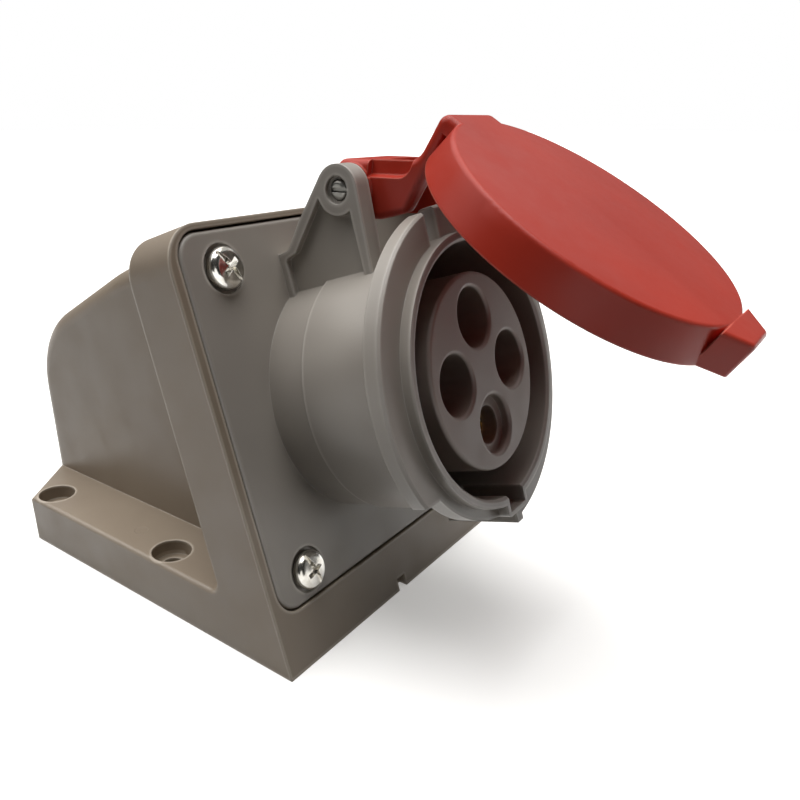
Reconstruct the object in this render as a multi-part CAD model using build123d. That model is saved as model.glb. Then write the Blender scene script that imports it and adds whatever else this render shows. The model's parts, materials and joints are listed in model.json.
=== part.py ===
from build123d import *
import os
from math import cos, radians, sin, sqrt

# Surface-mounted angled socket outlet with four contacts and a hinged lid.
# Millimetres. The wall side is Z = 0, +Z points away from the wall, and the origin is
# the centre of the four wall-screw holes. The sloping front looks towards -Y and up.

# ---- wall box -------------------------------------------------------------------
box_width = 82.0
face_tilt = 72.0            # degrees from the wall to the sloping front
face_length = 90.4          # of the sloping front, from the wall edge to the top
front_reach = 64.0          # from the hole pattern's centre to the front wall edge
flange_reach = 26.5         # from the hole pattern's centre to the flange's rear edge
flange_height = 12.4
frame_depth_low = 15.6      # of the front frame, at the wall
frame_depth_top = 13.0      # of the front frame, at its top
frame_corner_r = 8.0
frame_edge_r = 1.0          # along the frame's back and the flange's top
frame_foot_r = 2.5          # where the frame's back runs into the flange
dome_width = 49.2
dome_reach = 40.7           # from the hole pattern's centre to the dome's rear wall
dome_top_face = 86.5        # how far up the face the dome's top starts
dome_knee_y = -1.8          # where the dome's top turns down
dome_knee_z = 73.4
dome_heel_z = 51.0          # where the top's slope would meet the rear wall
dome_knee_r = 70.0
dome_heel_r = 25.0
dome_edge_r = 4.5
box_wall = 2.8
hole_pitch_x = 71.2
hole_pitch_y = 46.0
wall_hole_r = 2.6
wall_head_r = 4.6
wall_head_depth = 3.6
core_wall = 2.4             # walls left round the flange's hollows
core_roof = 3.0
core_boss_r = 5.0
drain_width = 3.0
drain_height = 3.0
drain_depth = 2.0

# ---- socket housing, measured from the socket's centre on the plate's front -------
socket_height = 50.2        # along the face, from the wall edge to the socket's axis
plate_width = 76.6
plate_height = 76.0
plate_rise = 0.6            # of the plate's centre over the socket's axis
plate_thickness = 5.0
plate_corner_r = 5.2
plate_edge_r = 0.8
plate_gap = 0.4             # round the plate, to the box's rim
gasket_thickness = 1.5
ledge_thickness = 3.0
ledge_width = 5.0
bore_r = 25.2
bore_floor = 3.0
bore_lip = 0.5
barrel_wall = 1.7
barrel_step = 0.6           # from the barrel's rear part out to its front part
barrel_step_n = 9.5
mouth_wall = 1.8
mouth_front = 34.8
ring_width = 5.8            # of the flange ring, outside the mouth
collar_width = 2.2          # of the ring's cut-back lower sector
collar_from = 213.0         # degrees, where the cut-back sector starts and ends
collar_to = 274.5
ring_back = 28.9
ring_front = 32.6
ring_edge_r = 0.5
stop_rib = 2.4              # the rib behind the ring's lower end
stop_rib_rise = 0.5         # how far it stands out past the ring
stop_rib_length = 17.0
carrier_window_gap = 0.6
key_width = 6.4
key_depth = 3.2
key_length = 14.0
key_wall = 1.0
slot_inner = 4.7            # the lid arm's slots in the ring, from the centre line
slot_outer = 8.6

# ---- cover screws -----------------------------------------------------------------
screw_x = 28.6
screw_u = 31.2
screw_r = 1.97
screw_hole_r = 2.25
screw_head_r = 4.1
screw_head_height = 2.7
screw_grip = 3.6            # length of a screw inside its insert
screw_seat_r = 4.8
screw_seat_depth = 0.9
cross_width = 1.0
cross_reach = 2.3
cross_depth = 1.7
screw_dome_r = 1.8          # of the rounded rim of a screw's head
seal_thickness = 0.6
seal_r = 3.6
insert_r = 3.0
insert_length = 3.9
insert_bore_r = 2.0

# ---- hinge and lid, the lid's own sizes given in its closed place -----------------
hinge_rise = 6.85           # of the hinge's axis over the flange ring
hinge_n = 18.2
ear_inner = 9.0
ear_thickness = 4.1
ear_recess = 1.4            # how far the ear's rim and boss stand over its web
ear_boss_r = 4.6
ear_rim_width = 1.8
pin_r = 1.95
pin_press_gap = 0.02
pin_running_gap = 0.08
pin_end_gap = 0.3           # of each pin end behind its ear's outer face
pin_recess_r = 2.5
pin_recess_depth = 0.9
pin_slot_width = 0.7
pin_slot_depth = 0.5
lid_open = 41.2             # degrees from closed, as the lid stands
lid_gap = 0.3               # between the closed lid's rim and the ring
lid_height = 6.35
lid_bore_gap = 0.7          # between the closed lid and the mouth
lid_wall = 1.5
lid_draft = 1.5             # how much slimmer the lid is at its top than at its rim
lid_roof = 2.2
lid_edge_r = 0.9
lid_tab_length = 3.0
lid_tab_half = 4.9          # of the tab's tip
lid_tab_root = 9.6          # of the tab where it leaves the rim
lid_tab_gap = 0.6           # between the closed lid and the keyway's outside
lid_tab_r = 1.6
arm_outer = 8.2
arm_wall = 2.9
arm_eye_r = 4.6
arm_eye_half = 8.7
arm_roof = 2.4
arm_top = 5.2               # of the standing lid's arm over the hinge's axis
arm_heel = 6.0              # how far the closed arm reaches past the hinge
arm_back_rise = 1.2         # of the closed arm's outer face over the lid's rim
arm_bend_r = 4.0
arm_edge_r = 1.4
dish_depth = 1.1            # of the scoop in the arm's top
dish_half = 4.6
dish_start = 5.0            # from the hinge's axis, along the arm's top
dish_end = 12.2
block_gap = 0.5             # between the closed arm and the ring's middle piece
arm_floor_gap = 0.5         # between the closed arm's walls and the slots' floor
lid_gasket_width = 3.0
lid_gasket_thickness = 2.0
lid_gasket_gap = 0.3

# ---- contacts ----------------------------------------------------------------------
contact_circle_r = 10.8
carrier_r = 19.5
carrier_front = 33.6
carrier_flange_r = 21.2
carrier_flange = 2.2
carrier_tab_half = 5.0
carrier_tab_reach = 30.5
carrier_edge_r = 0.7
carrier_seal_thickness = 0.8
entry_r = 5.9
entry_rim_r = 0.7
entry_depth = 13.5
earth_entry_depth = 2.0
entry_lip = 1.0             # of the carrier, in front of each phase sleeve
earth_lip = 3.5
entry_lip_gap = 0.4         # between a pin and the hole in that lip
sleeve_gap = 0.15
phase_pin_r = 2.5
phase_sleeve_r = 3.9
earth_pin_r = 3.5
earth_sleeve_r = 4.9
pin_slip = 0.02             # radial, between a pin and its sleeve
sleeve_bore_length = 20.0
sleeve_slit = 0.7
sleeve_slit_length = 12.0
sleeve_shoulder = 1.4       # thickness of a sleeve's shoulder
sleeve_shoulder_rim = 1.0   # how far the shoulder stands out
sleeve_tail = 10.0          # how far a sleeve reaches into the terminal block
clip_groove = 0.6
clip_width = 1.6
clip_place = 4.0
clip_gap_width = 1.6
clip_slack = 0.03
block_r = 20.4
block_length = 13.0
block_recess_r = 1.5
wire_r = 1.7
wire_hole_depth = 8.5
wire_mouth_r = 3.2
terminal_screw_r = 1.45
terminal_hole_r = 1.5
terminal_head_r = 2.4
terminal_head_height = 1.8
terminal_head_gap = 0.6     # under the head, over the sleeve
terminal_place = 6.0        # of the terminal screws' axes behind the block's front
terminal_well_r = 2.8
carrier_screw_u = 26.6
carrier_screw_r = 1.25
carrier_screw_hole_r = 1.5
carrier_screw_head_r = 2.5
carrier_screw_head = 1.7
carrier_screw_grip = 3.4    # length of a carrier screw inside the plate
block_screw_place = 16.2
block_screw_grip = 7.0

# ---- cable entry --------------------------------------------------------------------
entry_hole_r = 10.25
entry_z = 25.0
grommet_neck_gap = 0.05
grommet_lip_r = 12.4
grommet_lip = 1.8
grommet_inner_lip_r = 11.2
grommet_bore_r = 4.5
grommet_nose_r = 7.0
grommet_nose = 4.0

# ---- places that follow from the sizes above ---------------------------------------
up_y = cos(radians(face_tilt))
up_z = sin(radians(face_tilt))
front_y = -front_reach
socket_centre = (0, front_y + socket_height * up_y, socket_height * up_z)
socket_plane = Plane(origin=socket_centre, x_dir=(1, 0, 0), z_dir=(0, -up_z, up_y))
ledge_depth = plate_thickness + gasket_thickness
barrel_r = bore_r + barrel_wall
barrel_rear_r = barrel_r - barrel_step
mouth_outer_r = bore_r + mouth_wall
ring_r = mouth_outer_r + ring_width
collar_r = mouth_outer_r + collar_width
slot_floor_r = mouth_outer_r
key_reach = bore_r + key_depth + key_wall
carrier_window_r = carrier_r + carrier_window_gap
hinge_u = ring_r + hinge_rise
lid_bore_r = mouth_outer_r + lid_bore_gap
lid_rim_r = lid_bore_r + lid_wall
lid_top_r = lid_rim_r - lid_draft
lid_tab_reach = lid_rim_r + lid_tab_length
lid_gasket_r = lid_bore_r - lid_gasket_gap
arm_back_u = lid_rim_r + arm_back_rise
arm_floor_u = slot_floor_r + arm_floor_gap
cavity_front = ledge_depth + ledge_thickness
window_half = dome_width / 2 - box_wall
window_low = plate_rise - plate_height / 2 - plate_gap + ledge_width
window_high = dome_top_face - box_wall - socket_height
ear_outer = ear_inner + ear_thickness
ear_low_u = bore_r - 2.7
lid_seat = ring_front + lid_gap
lid_top = lid_seat + lid_height
lid_ceiling = lid_top - lid_roof
carrier_rear = -plate_thickness - carrier_seal_thickness - carrier_flange
block_rear = carrier_rear - block_length
hinge_line = Axis((0, hinge_u, hinge_n), (1, 0, 0))
cover_screw_places = [(x, u) for x in (-screw_x, screw_x) for u in (-screw_u, screw_u)]
contact_places = {
    "contact_l1": (-contact_circle_r, 0.0),
    "contact_l2": (0.0, contact_circle_r),
    "contact_l3": (contact_circle_r, 0.0),
    "contact_earth": (0.0, -contact_circle_r),
}
block_screw_places = [
    (block_screw_place * cos(radians(a)), block_screw_place * sin(radians(a)))
    for a in (45, 225)
]
carrier_screw_places = [(0, carrier_screw_u), (0, -carrier_screw_u)]


def on_face(up, depth):
    """The (y, z) of a point up the sloping front from the wall edge, and behind it."""
    return (front_y + up * up_y + depth * up_z, up * up_z - depth * up_y)


def rounded_polygon(corners):
    """A face from (x, y, radius) corners; a radius of 0 leaves the corner sharp."""
    face = make_face(Polyline([(x, y) for x, y, r in corners], close=True))
    for x, y, r in corners:
        if r > 0:
            corner = face.vertices().sort_by_distance(Vector(x, y, 0))[0]
            face = fillet(corner, r)
    return face


def side_slab(corners, width):
    """A slab across the box with the given outline in its side view."""
    return extrude(Plane.YZ * rounded_polygon(corners), amount=width / 2, both=True)


def rod(radius, low, high, x=0.0, u=0.0):
    """A cylinder along the socket's axis between two heights over the plate."""
    return Pos(x, u, (low + high) / 2) * Cylinder(radius, high - low)


def ring(outer, inner, low, high, x=0.0, u=0.0):
    """A round ring along the socket's axis."""
    return rod(outer, low, high, x, u) - rod(inner, low, high, x, u)


def cross_rod(radius, x_low, x_high):
    """A cylinder on the hinge's axis."""
    turned = Rot(0, 90, 0) * Cylinder(radius, x_high - x_low)
    return Pos((x_low + x_high) / 2, hinge_u, hinge_n) * turned


def block(x_low, x_high, u_low, u_high, n_low, n_high):
    """A box between two corners."""
    size = Box(x_high - x_low, u_high - u_low, n_high - n_low)
    return Pos((x_low + x_high) / 2, (u_low + u_high) / 2, (n_low + n_high) / 2) * size


def hinge_slab(corners, x_low, x_high):
    """A slab across the hinge from (u, n, radius) corners in the socket's side view."""
    face = Plane.YZ * rounded_polygon(corners)
    return Pos(x_low, 0, 0) * extrude(face, amount=x_high - x_low)


def seated(shape):
    """Move a shape from the socket's own axes to its place on the sloping front."""
    return socket_plane.location * shape


# ---- wall box -------------------------------------------------------------------
def frame_and_flange():
    """The full-width part of the box: its sloping front frame and its wall flange."""
    top = on_face(face_length, 0)
    top_back = on_face(face_length, frame_depth_top)
    low_back = on_face(0, frame_depth_low)
    slope = (top_back[0] - low_back[0]) / (top_back[1] - low_back[1])
    foot_y = low_back[0] + (flange_height - low_back[1]) * slope
    body = side_slab(
        [
            (front_y, 0, 0),
            (*top, 0),
            (*top_back, 0),
            (foot_y, flange_height, frame_foot_r),
            (dome_reach, flange_height, 0),
            (dome_reach, 0, 0),
        ],
        box_width,
    )
    half = box_width / 2
    low = -socket_height - face_length
    high = face_length - socket_height
    outline = rounded_polygon(
        [
            (-half, low, 0),
            (half, low, 0),
            (half, high, frame_corner_r),
            (-half, high, frame_corner_r),
        ]
    )
    depth = front_reach + 2 * dome_reach
    front_view = Pos(0, 0, -depth) * extrude(outline, amount=depth + plate_thickness)
    body &= seated(front_view)
    body &= flange_plan()
    return fillet(rear_rim(body), frame_edge_r)


def flange_plan():
    """Plan outline of the box, with its rear corners cut at a slant."""
    half = box_width / 2
    shoulder = dome_width / 2 - 1.5
    rear = dome_reach - 1.5
    points = [
        (-half, -2 * front_reach),
        (half, -2 * front_reach),
        (half, flange_reach),
        (shoulder, rear),
        (-shoulder, rear),
        (-half, flange_reach),
    ]
    return extrude(make_face(Polyline(points, close=True)), amount=2 * face_length)


def rear_rim(body):
    """The edges round the frame's back and along the flange's top."""
    top_z = on_face(face_length, frame_depth_top)[1]
    rim = []
    for face in body.faces():
        middle = face.center()
        normal = face.normal_at(middle)
        faces_back = normal.Y > 0.9 and middle.Z > flange_height
        faces_up = normal.Z > 0.9 and abs(middle.Z - flange_height) < 0.1
        if faces_back or faces_up:
            rim += face.edges()
    return [
        edge
        for edge in rim
        if abs(edge.center().X) > 1 or abs(edge.center().Z - top_z) < 1
    ]


def dome_outline(front_depth):
    """Side view of the dome, from a given depth behind the sloping front."""
    top = on_face(dome_top_face, front_depth)
    foot = on_face(front_depth * up_y / up_z, front_depth)
    return [
        (foot[0], 0, 0),
        (*top, 0),
        (dome_knee_y, dome_knee_z, dome_knee_r),
        (dome_reach, dome_heel_z, dome_heel_r),
        (dome_reach, 0, 0),
    ]


def dome():
    """The narrow rounded housing behind the frame."""
    body = side_slab(dome_outline(ledge_depth), dome_width)
    front_limit = on_face(dome_top_face, ledge_depth)[0] + 1
    long_edges = [
        edge
        for edge in body.edges()
        if abs(abs(edge.center().X) - dome_width / 2) < 0.01
        and edge.center().Z > 1
        and edge.center().Y > front_limit
    ]
    return fillet(long_edges, dome_edge_r)


def dome_cavity():
    """The room for the wiring, open towards the plate through a square window."""
    inner = offset(rounded_polygon(dome_outline(cavity_front - box_wall)), -box_wall)
    cavity = extrude(Plane.YZ * inner, amount=window_half, both=True)
    long_edges = [
        edge
        for edge in cavity.edges()
        if abs(abs(edge.center().X) - window_half) < 0.01
        and edge.center().Z > box_wall + 1
        and edge.center().Y > on_face(dome_top_face, cavity_front)[0] + 1
    ]
    cavity = fillet(long_edges, dome_edge_r - box_wall)
    window = block(
        -window_half, window_half, window_low, window_high, -cavity_front - 2, 0
    )
    return cavity + seated(window)


def plate_pocket():
    """The recess in the frame that the gasket and the plate sit in."""
    outline = RectangleRounded(
        plate_width + 2 * plate_gap,
        plate_height + 2 * plate_gap,
        plate_corner_r + plate_gap,
    )
    pocket = extrude(outline, amount=ledge_depth + 1)
    return seated(Pos(0, plate_rise, -ledge_depth) * pocket)


def flange_hollows():
    """Hollows in the flange's wall side, clear of the screw holes and the dome."""
    side = box_width / 2 - core_wall
    inner = dome_width / 2 + 0.2
    depth = flange_height - core_roof
    rear = flange_reach - core_wall
    front = front_y + frame_depth_low
    hollows = []
    for sign in (-1, 1):
        x_low, x_high = sorted((sign * inner, sign * side))
        pocket = block(x_low, x_high, front, rear, 0, depth)
        for y in (-hole_pitch_y / 2, hole_pitch_y / 2):
            boss = Cylinder(core_boss_r, depth)
            pocket -= Pos(sign * hole_pitch_x / 2, y, depth / 2) * boss
            rib = core_wall / 2
            pocket -= block(x_low, x_high, y - rib, y + rib, 0, depth)
        hollows.append(pocket)
    return hollows


def wall_screw_holes():
    """The four holes for the wall screws, sunk for their heads."""
    seat = flange_height - wall_head_depth
    holes = []
    for x in (-hole_pitch_x / 2, hole_pitch_x / 2):
        for y in (-hole_pitch_y / 2, hole_pitch_y / 2):
            hole = rod(wall_hole_r, -1, flange_height, x, y)
            hole += rod(wall_head_r, seat, flange_height + 1, x, y)
            holes.append(hole)
    return holes


def wall_box():
    """The moulded box: frame, flange and dome, with every hole in them."""
    body = frame_and_flange()
    body += dome()
    body -= dome_cavity()
    body -= plate_pocket()
    for hollow in flange_hollows():
        body -= hollow
    for hole in wall_screw_holes():
        body -= hole
    for x, u in cover_screw_places:
        depth = ledge_depth + insert_length
        body -= seated(rod(insert_r, -depth, -ledge_depth, x, u))
    low, high = -socket_height - 1, drain_height - socket_height
    notch = block(-drain_width / 2, drain_width / 2, low, high, -drain_depth, 1)
    body -= seated(notch)
    entry = Rot(90, 0, 0) * Cylinder(entry_hole_r, 4 * box_wall)
    body -= Pos(0, dome_reach, entry_z) * entry
    return body


def cover_gasket():
    """The sheet gasket between the plate and the box's ledge."""
    outline = RectangleRounded(plate_width - 1, plate_height - 1, plate_corner_r)
    sheet = Pos(0, plate_rise, -ledge_depth) * extrude(outline, amount=gasket_thickness)
    sheet -= block(
        -window_half - 0.5,
        window_half + 0.5,
        window_low - 0.5,
        window_high + 0.5,
        -ledge_depth,
        0,
    )
    for x, u in cover_screw_places:
        sheet -= rod(screw_hole_r, -ledge_depth, 0, x, u)
    return seated(sheet)


def box_inserts():
    """The four threaded sleeves in the frame for the cover screws."""
    return [
        seated(
            ring(insert_r, insert_bore_r, -ledge_depth - insert_length, -ledge_depth, x, u)
        )
        for x, u in cover_screw_places
    ]


# ---- socket housing ----------------------------------------------------------------
def sector(radius, start, end, low, high):
    """A pie-shaped slab between two angles in degrees."""
    middle = radians((start + end) / 2)
    points = [(0, 0)]
    for angle in (radians(start), middle, radians(end)):
        points.append((radius * cos(angle), radius * sin(angle)))
    face = make_face(Polyline(points, close=True))
    return Pos(0, 0, low) * extrude(face, amount=high - low)


def flange_ring():
    """The ring behind the mouth, cut back to a collar over its lower sector."""
    body = rod(ring_r, ring_back, ring_front)
    body = chamfer(body.edges().filter_by(GeomType.CIRCLE), ring_edge_r)
    cut = sector(3 * ring_r, collar_from, collar_to, ring_back - 1, ring_front + 1)
    flat = ring_r * sin(radians(collar_from))
    cut &= block(-3 * ring_r, 3 * ring_r, -3 * ring_r, flat, ring_back - 1, ring_front + 1)
    body -= cut - rod(collar_r, ring_back - 1, ring_front + 1)
    collar = rod(collar_r, ring_back, ring_front)
    return body + collar


def stop_rib_solid():
    """The rib that backs the ring's lower end."""
    x_low = ring_r * cos(radians(collar_to))
    low = ring_front - stop_rib_length
    reach = ring_r + stop_rib_rise
    return block(x_low, x_low + stop_rib, -reach, -bore_r, low, ring_front)


def ear_corners():
    """Side view of a hinge ear as (u, n, radius) corners."""
    return [
        (ear_low_u, -0.5, 0),
        (hinge_u - 8.05, -0.5, 0),
        (hinge_u - 7.75, 2.9, 3.0),
        (hinge_u - 3.05, 7.5, 8.0),
        (hinge_u + 3.7, hinge_n - 2.8, 0),
        (hinge_u, hinge_n, 0),
        (hinge_u, hinge_n + ear_boss_r, 0),
        (ear_low_u, hinge_n + 3.7, 0),
    ]


def ear_pocket_corners():
    """The recess in an ear's outer face, between its rims and down to the barrel."""
    front = hinge_n + 3.7 - ear_rim_width
    return [
        (ear_low_u, 1.6, 0),
        (hinge_u - 9.35, 1.6, 0.8),
        (hinge_u - 8.65, 4.6, 0.8),
        (hinge_u + 1.35, hinge_n - 3.0, 0.8),
        (hinge_u - 2.2, front, 0.8),
        (ear_low_u, front, 0),
    ]


def ear(sign):
    """One hinge ear with its boss, its rim and its foot on the plate."""
    x_low, x_high = sorted((sign * ear_inner, sign * ear_outer))
    body = hinge_slab(ear_corners(), x_low, x_high)
    body += cross_rod(ear_boss_r, x_low, x_high)
    web = sign * (ear_outer - ear_recess)
    face = sign * (ear_outer + 1)
    low, high = sorted((web, face))
    recess = hinge_slab(ear_pocket_corners(), low, high)
    recess -= cross_rod(ear_boss_r, low, high)
    return body - recess


def key_lug():
    """The outside of the keyway, along the barrel and round the mouth's rim."""
    half = key_width / 2 + key_wall
    low = mouth_front - key_length - key_wall
    lug = block(-half, half, -key_reach, -bore_r + 1, low, mouth_front)
    return fillet(lug.edges().filter_by(Axis.Z).group_by(Axis.Y)[0], 1.0)


def socket_housing():
    """Plate, barrel, flange ring, mouth and hinge ears in one moulding."""
    outline = RectangleRounded(plate_width, plate_height, plate_corner_r)
    body = Pos(0, plate_rise, -plate_thickness) * extrude(outline, amount=plate_thickness)
    body = fillet(body.faces().sort_by(Axis.Z)[-1].edges(), plate_edge_r)
    body += rod(barrel_rear_r, -1, barrel_step_n)
    body += rod(barrel_r, barrel_step_n, ring_back + 1)
    body += flange_ring()
    body += stop_rib_solid()
    body += rod(mouth_outer_r, ring_front - 1, mouth_front)
    body += key_lug()
    for sign in (-1, 1):
        body += ear(sign)
    for sign in (-1, 1):
        low, high = sorted((sign * slot_inner, sign * slot_outer))
        slot = block(low, high, 0, ring_r + 1, ring_back - 0.01, ring_front + 0.01)
        body -= slot - rod(slot_floor_r, ring_back - 1, ring_front + 1)
    bore = rod(bore_r, bore_floor, mouth_front)
    body -= bore + Pos(0, 0, mouth_front - bore_lip / 2) * Cone(
        bore_r, bore_r + bore_lip, bore_lip
    )
    key = block(
        -key_width / 2,
        key_width / 2,
        -bore_r - key_depth,
        -bore_r + 2,
        mouth_front - key_length,
        mouth_front + 1,
    )
    body -= key
    body -= rod(carrier_window_r, -plate_thickness - 1, bore_floor + 1)
    for x, u in cover_screw_places:
        body -= rod(screw_hole_r, -plate_thickness - 1, 1, x, u)
        body -= rod(screw_seat_r, -screw_seat_depth, 1, x, u)
    for x, u in carrier_screw_places:
        depth = carrier_screw_grip + 0.2
        body -= rod(carrier_screw_r, -plate_thickness, depth - plate_thickness, x, u)
    body -= cross_rod(pin_r + pin_press_gap, -ear_outer - 1, ear_outer + 1)
    for sign in (-1, 1):
        low, high = sorted((sign * (ear_outer - pin_recess_depth), sign * (ear_outer + 1)))
        body -= cross_rod(pin_recess_r, low, high)
    return seated(body)


def cross_recess(top):
    """The cross-shaped driver recess of a screw whose head ends at the given height."""
    half = cross_width / 2
    arm = block(-cross_reach, cross_reach, -half, half, top - cross_depth, top + 1)
    return arm + Rot(0, 0, 90) * arm


def cover_screw(x, u):
    """A pan-head screw with a cross recess, on its seal."""
    seat = seal_thickness - screw_seat_depth
    head = rod(screw_head_r, seat, seat + screw_head_height)
    head = fillet(head.edges().sort_by(Axis.Z)[-1], screw_dome_r)
    body = head + rod(screw_r, -ledge_depth - screw_grip, seat)
    body -= cross_recess(seat + screw_head_height)
    return seated(Pos(x, u, 0) * body)


def cover_screw_seal(x, u):
    """The sealing washer under a cover screw's head."""
    low = -screw_seat_depth
    return seated(ring(seal_r, screw_hole_r, low, low + seal_thickness, x, u))


# ---- contacts ---------------------------------------------------------------------
def is_earth(name):
    """Whether a contact is the larger earth contact."""
    return name == "contact_earth"


def sleeve_sizes(name):
    """Sleeve radius, pin radius and front height of a contact."""
    if is_earth(name):
        front = carrier_front - earth_entry_depth - earth_lip
        return earth_sleeve_r, earth_pin_r, front
    front = carrier_front - entry_depth - entry_lip
    return phase_sleeve_r, phase_pin_r, front


def carrier_disc(thickness, low, reach):
    """The carrier's flange outline, with its two screw tabs."""
    disc = rod(carrier_flange_r, low, low + thickness)
    half = carrier_tab_half
    tabs = block(-half, half, -reach, reach, low, low + thickness)
    tabs = fillet(tabs.edges().filter_by(Axis.Z), 2.0)
    return disc + tabs


def contact_carrier():
    """The insulating insert with its four contact entries."""
    body = rod(carrier_r, carrier_rear, carrier_front)
    body = fillet(body.edges().sort_by(Axis.Z)[-1], carrier_edge_r)
    body += carrier_disc(carrier_flange, carrier_rear, carrier_tab_reach)
    for name, (x, u) in contact_places.items():
        sleeve_r, pin_r_here, front = sleeve_sizes(name)
        depth = earth_entry_depth if is_earth(name) else entry_depth
        body -= rod(sleeve_r + sleeve_gap, carrier_rear - 1, front, x, u)
        body -= rod(pin_r_here + entry_lip_gap, front - 1, carrier_front, x, u)
        body -= rod(entry_r, carrier_front - depth, carrier_front + 1, x, u)
        rim = sleeve_r + sleeve_shoulder_rim + sleeve_gap
        body -= rod(rim, carrier_rear - 1, carrier_rear + sleeve_shoulder, x, u)
    body = fillet(
        [
            edge
            for edge in body.edges().filter_by(GeomType.CIRCLE)
            if abs(edge.center().Z - carrier_front) < 0.01 and edge.radius < entry_r + 0.1
        ],
        entry_rim_r,
    )
    for x, u in carrier_screw_places:
        body -= rod(carrier_screw_hole_r, carrier_rear - 1, 0, x, u)
    for x, u in block_screw_places:
        body -= rod(carrier_screw_r, carrier_rear - 1, carrier_rear + block_screw_grip, x, u)
    return seated(body)


def carrier_seal():
    """The flat seal between the carrier's flange and the plate."""
    low = -plate_thickness - carrier_seal_thickness
    body = carrier_disc(carrier_seal_thickness, low, carrier_tab_reach - 0.5)
    body -= rod(carrier_r + 0.1, low - 1, 0)
    for x, u in carrier_screw_places:
        body -= rod(carrier_screw_hole_r, low - 1, 0, x, u)
    return seated(body)


def outward(x, u):
    """The direction in degrees from the socket's axis towards a contact."""
    if abs(x) > abs(u):
        return 0 if x > 0 else 180
    return 90 if u > 0 else 270


def radial_rod(radius, start, end, angle, n):
    """A cylinder square to the socket's axis, between two distances from it."""
    body = Rot(0, 90, 0) * Cylinder(radius, end - start)
    return Rot(0, 0, angle) * (Pos((start + end) / 2, 0, n) * body)


def terminal_reach(sleeve_r):
    """Where a terminal screw's head starts, from the socket's axis."""
    return contact_circle_r + sleeve_r + terminal_head_gap


def terminal_block():
    """The insulating block behind the carrier that holds the sleeves' tails."""
    body = rod(block_r, block_rear, carrier_rear)
    body = fillet(body.edges().sort_by(Axis.Z)[0], block_recess_r)
    for name, (x, u) in contact_places.items():
        sleeve_r, _, _ = sleeve_sizes(name)
        tail = carrier_rear - sleeve_tail
        body -= rod(sleeve_r + sleeve_gap, tail - 0.1, carrier_rear + 1, x, u)
        body -= rod(wire_mouth_r, block_rear - 1, tail + 1, x, u)
        angle = outward(x, u)
        n = carrier_rear - terminal_place
        well_floor = contact_circle_r + sleeve_r - 1.5
        body -= radial_rod(terminal_well_r, well_floor, 30, angle, n)
    for x, u in block_screw_places:
        body -= rod(carrier_screw_hole_r, block_rear - 1, carrier_rear + 1, x, u)
        sink = block_rear + carrier_screw_head + 0.3
        body -= rod(carrier_screw_head_r + 0.3, block_rear - 1, sink, x, u)
    return seated(body)


def contact_sleeve(name):
    """A slit contact sleeve with its shoulder and its wire hole."""
    x, u = contact_places[name]
    sleeve_r, pin_r_here, front = sleeve_sizes(name)
    tail = carrier_rear - sleeve_tail
    body = rod(sleeve_r, tail, front)
    body += rod(sleeve_r + sleeve_shoulder_rim, carrier_rear, carrier_rear + sleeve_shoulder)
    body -= rod(pin_r_here + pin_slip, front - sleeve_bore_length, front + 1)
    slit = sleeve_slit / 2
    body -= block(-9, 9, -slit, slit, front - sleeve_slit_length, front + 1)
    groove_low = front - clip_place - clip_width
    groove = ring(sleeve_r + 1, sleeve_r - clip_groove, groove_low, front - clip_place)
    body -= groove
    body -= rod(wire_r, tail - 1, tail + wire_hole_depth)
    body = Pos(x, u, 0) * body
    n = carrier_rear - terminal_place
    body -= radial_rod(terminal_hole_r, contact_circle_r, 30, outward(x, u), n)
    return seated(body)


def contact_ring_spring(name):
    """The open ring spring in a sleeve's groove."""
    x, u = contact_places[name]
    sleeve_r, _, front = sleeve_sizes(name)
    low = front - clip_place - clip_width + clip_slack
    high = front - clip_place - clip_slack
    body = ring(sleeve_r, sleeve_r - clip_groove + clip_slack, low, high)
    body -= block(-clip_gap_width / 2, clip_gap_width / 2, 0, 9, low - 1, front)
    return seated(Pos(x, u, 0) * body)


def terminal_screw(name):
    """A slotted terminal screw, square to its sleeve's tail."""
    x, u = contact_places[name]
    sleeve_r, _, _ = sleeve_sizes(name)
    n = carrier_rear - terminal_place
    angle = outward(x, u)
    head = terminal_reach(sleeve_r)
    tip = contact_circle_r + wire_r * 0.5
    body = radial_rod(terminal_screw_r, tip, head, 0, n)
    body += radial_rod(terminal_head_r, head, head + terminal_head_height, 0, n)
    end = head + terminal_head_height
    body -= block(end - 0.8, end + 1, -9, 9, n - 0.35, n + 0.35)
    return seated(Rot(0, 0, angle) * body)


def rear_screw(x, u, head_low, tip):
    """A small screw driven forwards from behind, with a cross recess."""
    head_high = head_low + carrier_screw_head
    body = rod(carrier_screw_head_r, head_low, head_high)
    body = fillet(body.edges().sort_by(Axis.Z)[0], 0.6)
    body += rod(carrier_screw_r - 0.02, head_high, tip)
    arm = block(-1.4, 1.4, -0.3, 0.3, head_low - 1, head_low + 1.0)
    body -= arm + Rot(0, 0, 90) * arm
    return seated(Pos(x, u, 0) * body)


def carrier_screws():
    """The two screws that hold the carrier to the plate."""
    head_low = carrier_rear - carrier_screw_head
    tip = carrier_screw_grip - plate_thickness
    return [rear_screw(x, u, head_low, tip) for x, u in carrier_screw_places]


def block_screws():
    """The two screws that hold the terminal block to the carrier."""
    head_low = block_rear + 0.3
    tip = carrier_rear + block_screw_grip - 0.3
    return [rear_screw(x, u, head_low, tip) for x, u in block_screw_places]


# ---- lid ---------------------------------------------------------------------------
def arm_plane(u, height):
    """Height n, at u, of a plane level with the hinge's axis when the lid stands."""
    tilt = radians(face_tilt - lid_open)
    return hinge_n + (height - (u - hinge_u) * sin(tilt)) / cos(tilt)


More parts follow.
